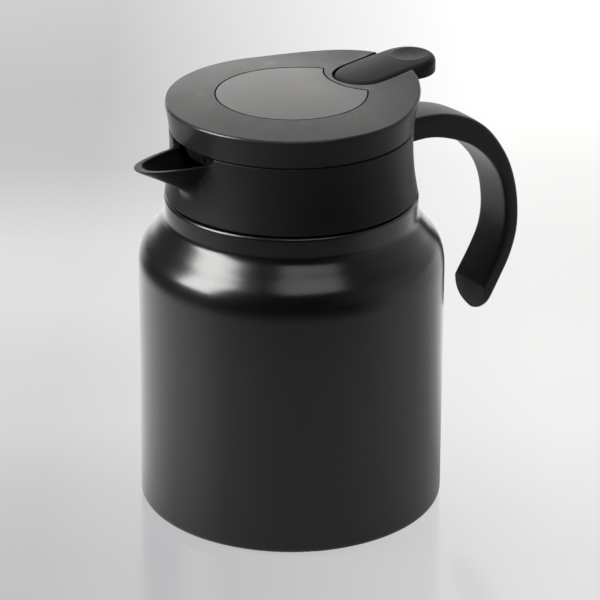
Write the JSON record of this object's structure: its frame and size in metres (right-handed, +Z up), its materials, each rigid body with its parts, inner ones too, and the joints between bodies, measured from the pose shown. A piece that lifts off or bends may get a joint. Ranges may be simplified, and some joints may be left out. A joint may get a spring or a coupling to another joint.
{
  "type": "thermal coffee carafe",
  "caption": "Round double-walled vacuum coffee jug with a short beak spout, open-ended hook handle and a lift-off lid with a thumb-press pouring lever.",
  "frame": {"origin": "centre of the base, on the table plane", "axes": "+Z up along the vessel's axis; +X toward the handle and thumb lever; -X toward the spout; +Y completes the right-handed frame"},
  "size_m": [0.1769, 0.1212, 0.1759],
  "materials": {
    "paint": "satin black powder paint",
    "liner_steel": "electropolished stainless steel",
    "copper": "bright copper",
    "getter": "sintered grey metal",
    "foot_rubber": "matt silicone rubber",
    "silicone": "translucent grey silicone",
    "spring_steel": "drawn stainless wire and strip",
    "screw_steel": "plain stainless steel",
    "black_plastic": "fine spark texture",
    "lid_plastic": "fine spark texture",
    "plate_plastic": "smooth satin",
    "lever_plastic": "smooth satin",
    "inner_plastic": "plain moulded, food grade"
  },
  "bodies": {
    "vessel": {"outer_shell": "paint", "inner_liner": "liner_steel", "base_cup": "liner_steel", "vacuum_seal_cap": "copper", "getter_pellet": "getter", "radiation_foil": "copper", "base_pad": "foot_rubber", "neck_gasket": "silicone", "snap_ring": "spring_steel", "collar": "black_plastic", "handle_grip": "black_plastic", "handle_core": "spring_steel", "handle_screws": "screw_steel"},
    "lid_seal": {"lid_gasket": "silicone"},
    "lid": {"lid_cover": "lid_plastic", "lid_plate": "plate_plastic", "lid_core": "inner_plastic", "lid_base": "inner_plastic", "lever_pin": "spring_steel", "lid_screws": "screw_steel"},
    "lever": {"lever": "lever_plastic"},
    "valve": {"valve_stem": "inner_plastic", "valve_disc": "inner_plastic", "valve_seal": "silicone", "stem_clip": "spring_steel", "valve_spring": "spring_steel"}
  },
  "joints": [
    {"name": "lid_lift", "type": "slide", "parent": "vessel", "child": "lid_seal", "axis": [0, 0, 1], "range_m": [0, 0.06]},
    {"name": "lid_turn", "type": "hinge", "parent": "lid_seal", "child": "lid", "pos_m": [0, 0, 0.1355], "axis": [0, 0, 1], "range_deg": [-60, 60]},
    {"name": "lever_press", "type": "hinge", "parent": "lid", "child": "lever", "pos_m": [0.036, 0, 0.163], "axis": [0, 1, 0], "range_deg": [0, 8]},
    {"name": "valve_lift", "type": "slide", "parent": "lid", "child": "valve", "axis": [0, 0, 1], "range_m": [0, 0.0051], "deforming": ["valve_spring"]}
  ],
  "couplings": [
    {"joint": "valve_lift", "follows": "lever_press", "m_per_rad": 0.0362}
  ]
}
